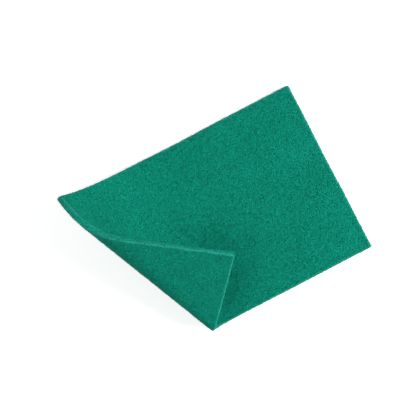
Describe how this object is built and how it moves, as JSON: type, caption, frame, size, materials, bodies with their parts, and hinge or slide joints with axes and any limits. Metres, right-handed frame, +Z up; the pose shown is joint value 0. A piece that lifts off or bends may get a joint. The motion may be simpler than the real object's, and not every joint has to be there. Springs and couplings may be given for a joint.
{
  "type": "scouring pad",
  "caption": "Flat rectangular scouring pad of nonwoven nylon web, lying with one corner lifted and turned over onto itself.",
  "frame": {"origin": "middle of the pad's box, on the surface that the pad lies on", "axes": "+X along the pad's long side, away from the turned corner; +Y along the short side, towards the back; +Z up"},
  "size_m": [0.2062, 0.1522, 0.0749],
  "materials": {
    "green_web": "matt, open nonwoven web of crimped nylon fibres bonded with resin and fine grit, cut square"
  },
  "bodies": {
    "root": {"scouring_pad": "green_web"}
  },
  "joints": []
}
